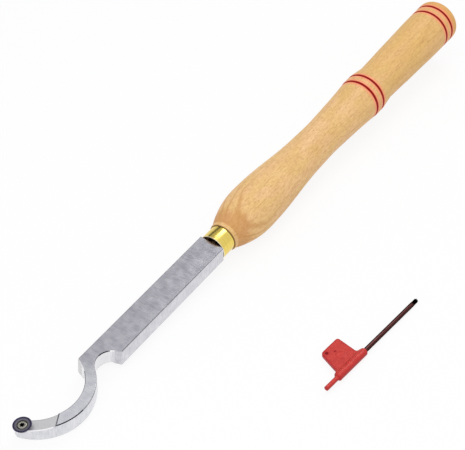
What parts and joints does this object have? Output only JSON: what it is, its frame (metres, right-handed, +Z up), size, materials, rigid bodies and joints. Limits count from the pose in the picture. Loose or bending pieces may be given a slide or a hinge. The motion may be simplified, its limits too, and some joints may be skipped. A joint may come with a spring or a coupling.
{
  "type": "hollowing tool",
  "caption": "Swan-neck hollowing tool for a wood lathe: turned wooden handle, brass ferrule, ground steel bar, round screwed-on cutter, and a loose flag key for the cutter's screw.",
  "frame": {"origin": "on the bench, under the middle of the bounding box of the tool and its key as they lie", "axes": "+X along the tool from the handle to the cutter, +Z up from the bench, the key lies on the +Y side"},
  "size_m": [0.5052, 0.1514, 0.0493],
  "materials": {
    "handle_wood": "turned pale hardwood under a satin lacquer",
    "ferrule_brass": "turned and polished",
    "bar_steel": "satin ground",
    "glue": "cured epoxy",
    "carbide": "ground and polished tungsten carbide",
    "screw_steel": "bright alloy steel",
    "key_steel": "black oxide, lightly oiled",
    "key_plastic": "moulded, semi-gloss"
  },
  "bodies": {
    "tool": {"handle": "handle_wood", "ferrule": "ferrule_brass", "tool_bar": "bar_steel", "tang_glue": "glue"},
    "cutter": {"cutter_insert": "carbide"},
    "screw": {"cutter_screw": "screw_steel"},
    "key": {"key_blade": "key_steel", "key_flag": "key_plastic"}
  },
  "joints": [
    {"name": "cutter_lift", "type": "slide", "parent": "tool", "child": "cutter", "axis": [0.0926, -0.0303, 0.9952], "range_m": [0, 0.0056]},
    {"name": "screw_turn", "type": "hinge", "parent": "cutter", "child": "screw", "pos_m": [0.24633, -0.06094, 0.01041], "axis": [0.0926, -0.0303, 0.9952], "range_deg": [0, 2880]},
    {"name": "key_lift", "type": "slide", "parent": "tool", "child": "key", "axis": [0, 0, 1], "range_m": [0, 0.15]}
  ],
  "couplings": [
    {"joint": "screw_turn", "follows": "cutter_lift", "rad_per_m": 8976}
  ]
}
